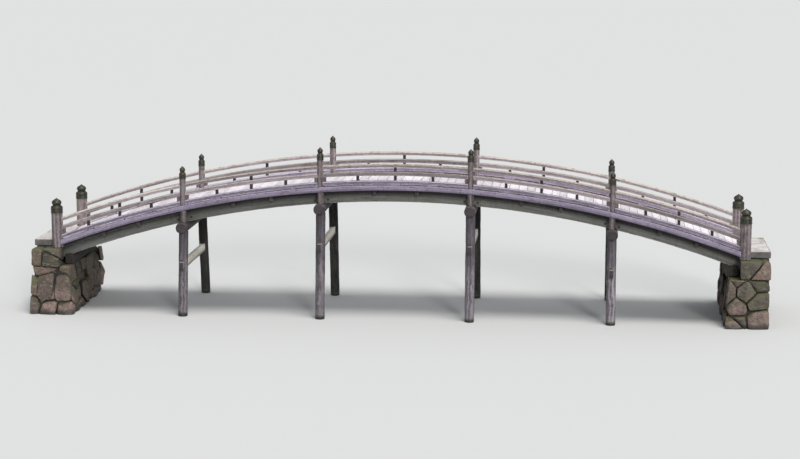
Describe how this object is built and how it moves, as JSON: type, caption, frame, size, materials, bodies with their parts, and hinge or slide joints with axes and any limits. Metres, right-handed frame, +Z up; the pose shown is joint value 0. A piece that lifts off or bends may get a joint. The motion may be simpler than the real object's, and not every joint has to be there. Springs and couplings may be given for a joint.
{
  "type": "arched timber moon bridge",
  "caption": "Gently arched timber footbridge on raking log piles, with a low railing, onion-shaped post caps and a stone abutment at each end.",
  "frame": {"origin": "on the water line, under the centre of the bridge", "axes": "+X along the bridge to the right as pictured, +Y across it away from the viewer, +Z up"},
  "size_m": [17.63, 3.26, 4.102],
  "materials": {
    "deck_timber": "bleached weathered planks",
    "edge_timber": "weathered purple-grey timber",
    "girder_timber": "weathered dark grey timber",
    "rail_timber": "weathered grey-brown timber with lichen",
    "post_timber": "weathered grey-brown timber",
    "bent_timber": "dark weathered timber",
    "tie_timber": "pale weathered timber",
    "pile_logs": "grey log, dark and wet at the foot",
    "cap_bronze": "dark patinated bronze",
    "abutment_stone": "rough brown rock with moss",
    "threshold_stone": "dressed granite, worn"
  },
  "bodies": {
    "root": {"abutment_left": "abutment_stone", "abutment_right": "abutment_stone", "cap_beam_1": "bent_timber", "cap_beam_2": "bent_timber", "cap_beam_3": "bent_timber", "cap_beam_4": "bent_timber", "cross_ties": "bent_timber", "curb_far": "edge_timber", "curb_near": "edge_timber", "deck_bay_1": "deck_timber", "deck_bay_2": "deck_timber", "deck_bay_3": "deck_timber", "deck_bay_4": "deck_timber", "deck_bay_5": "deck_timber", "end_posts_far": "post_timber", "end_posts_near": "post_timber", "fascia_far": "edge_timber", "fascia_near": "edge_timber", "finials_far": "cap_bronze", "finials_near": "cap_bronze", "girder_far": "girder_timber", "girder_middle": "girder_timber", "girder_near": "girder_timber", "mid_rail_far": "rail_timber", "mid_rail_near": "rail_timber", "pile_far_1": "pile_logs", "pile_far_2": "pile_logs", "pile_far_3": "pile_logs", "pile_far_4": "pile_logs", "pile_near_1": "pile_logs", "pile_near_2": "pile_logs", "pile_near_3": "pile_logs", "pile_near_4": "pile_logs", "posts_far": "post_timber", "posts_near": "post_timber", "sills": "bent_timber", "struts_far": "rail_timber", "struts_near": "rail_timber", "thresholds": "threshold_stone", "tie_beam_1": "tie_timber", "tie_beam_2": "tie_timber", "tie_beam_3": "tie_timber", "tie_beam_4": "tie_timber", "top_rail_far": "rail_timber", "top_rail_near": "rail_timber"}
  },
  "joints": []
}
